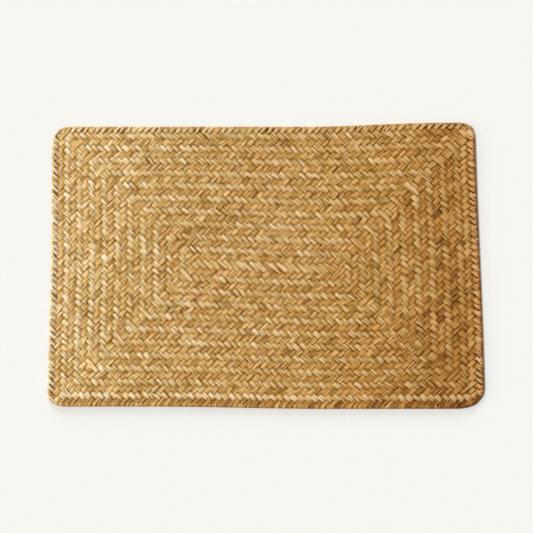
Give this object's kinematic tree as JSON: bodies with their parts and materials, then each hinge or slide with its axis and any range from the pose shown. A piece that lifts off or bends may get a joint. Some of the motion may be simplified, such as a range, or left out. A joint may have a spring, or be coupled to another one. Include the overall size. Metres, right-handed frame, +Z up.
{
  "type": "straw placemat",
  "caption": "Flat rectangular table mat plaited from straws at 45 degrees, with round corners and a turned, slightly thicker edge.",
  "frame": {"origin": "on the surface that the mat lies on, under the middle of the mat's box", "axes": "+X along the mat's length, +Y along its width, +Z up through its thickness"},
  "size_m": [0.4539, 0.3054, 0.0029],
  "materials": {
    "straw": "dry plaited straw with a faint sheen, golden brown with paler and darker straws"
  },
  "bodies": {
    "root": {"mat": "straw"}
  },
  "joints": []
}
